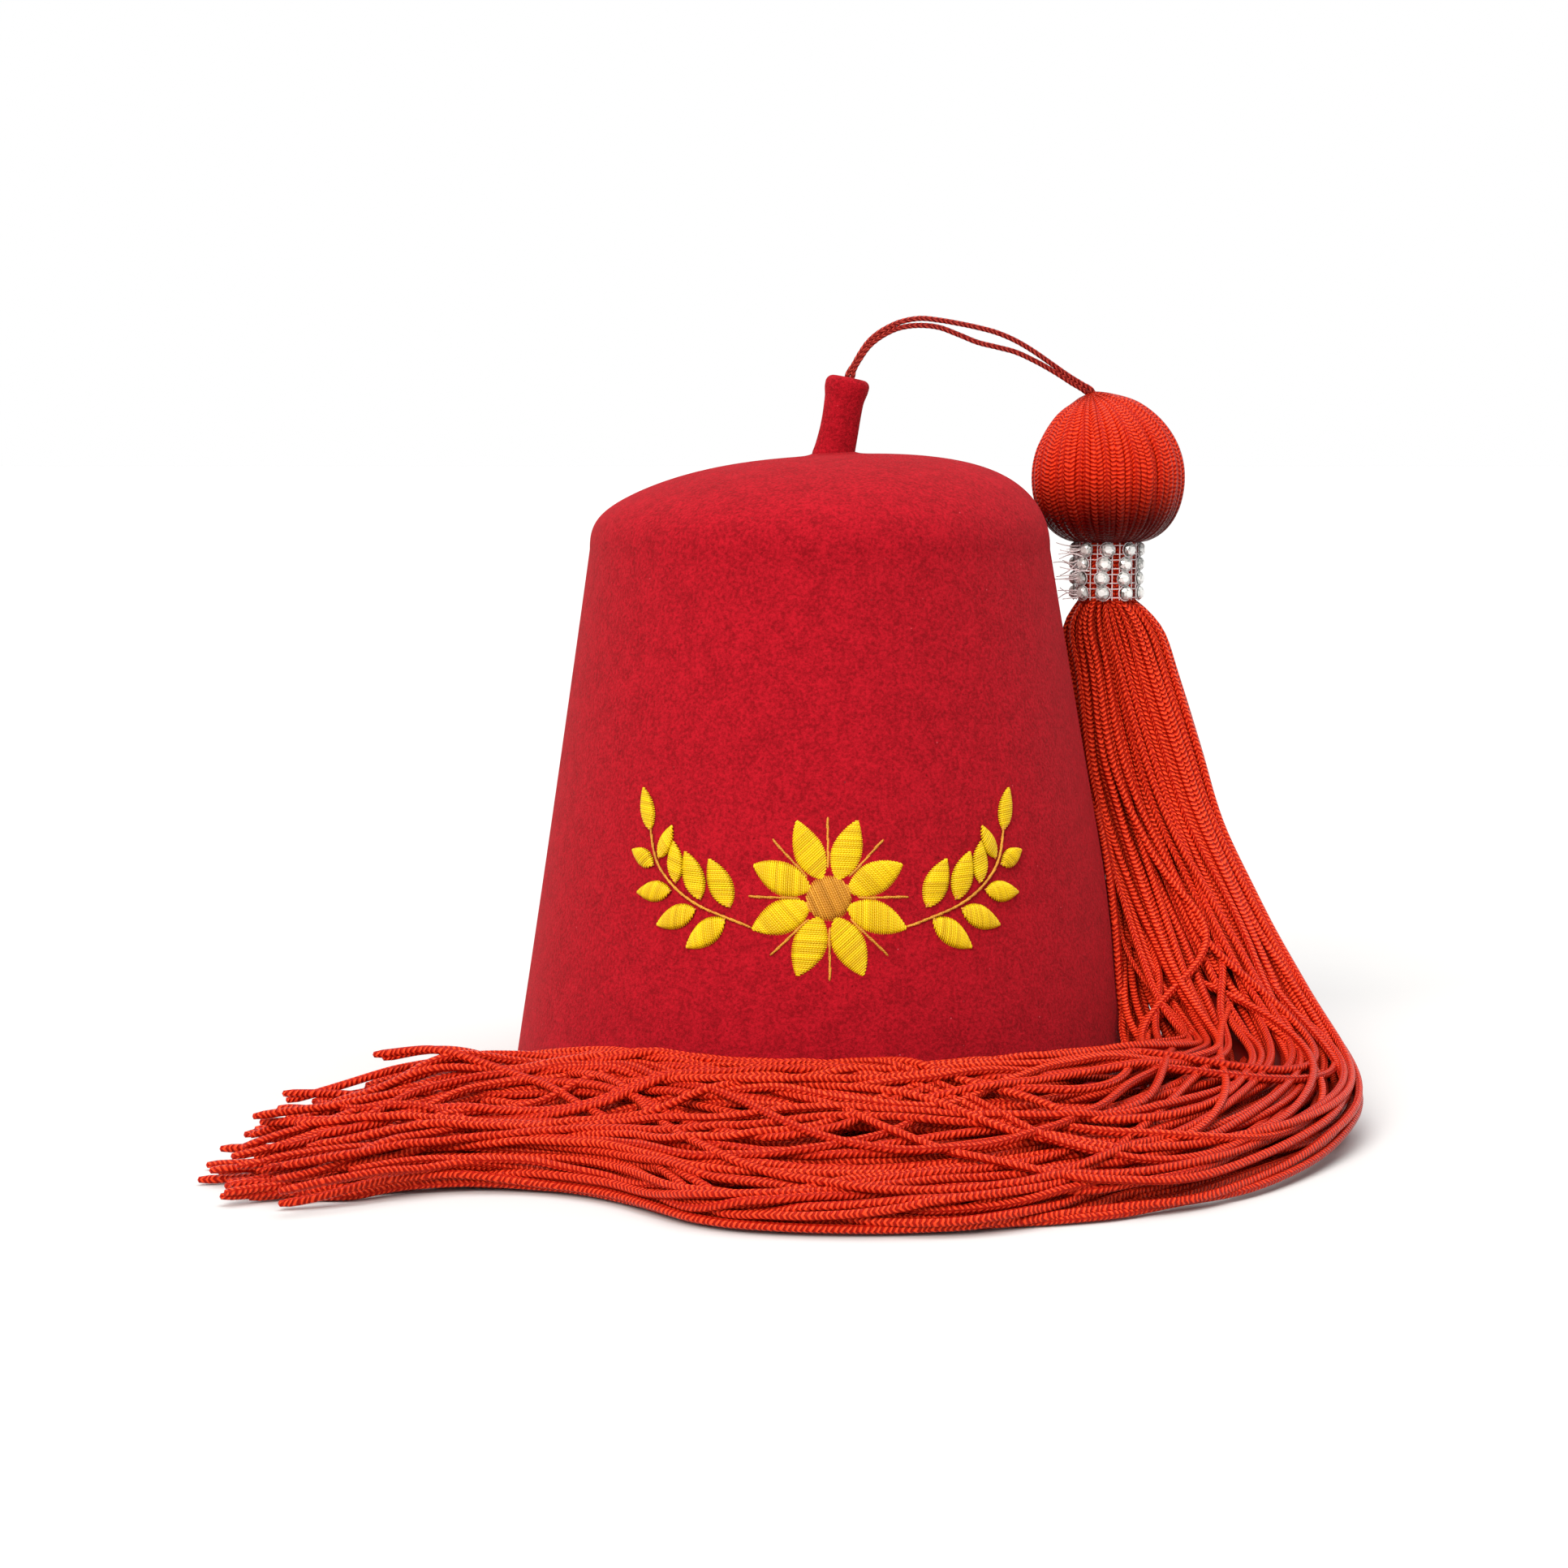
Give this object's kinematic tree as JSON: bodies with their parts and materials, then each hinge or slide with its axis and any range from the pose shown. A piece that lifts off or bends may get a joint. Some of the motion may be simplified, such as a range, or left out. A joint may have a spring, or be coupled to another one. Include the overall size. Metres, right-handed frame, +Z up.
{
  "type": "fez hat",
  "caption": "Blocked red felt fez, oval and open below, with an embroidered front, a felt stem on top and a long silky tassel that falls from a jewelled neck and lies round the rim.",
  "frame": {"origin": "the middle of the plan box round the hat and its lying tassel, on the surface that the rim stands on", "axes": "+Z up through the felt stem, -Y out of the embroidered front, +X to the right as that front is seen"},
  "size_m": [0.2788, 0.2818, 0.2021],
  "materials": {
    "felt": "matt blocked wool felt with a short nap",
    "cord": "silky knitted rayon cord",
    "braid": "tight braided cord",
    "stones": "clear cut stones in a clear moulded net"
  },
  "bodies": {
    "root": {"crown": "felt", "stem": "felt", "hanger_strand_upper": "braid", "hanger_strand_lower": "braid", "tassel": "cord", "stone_net": "stones"}
  },
  "joints": []
}
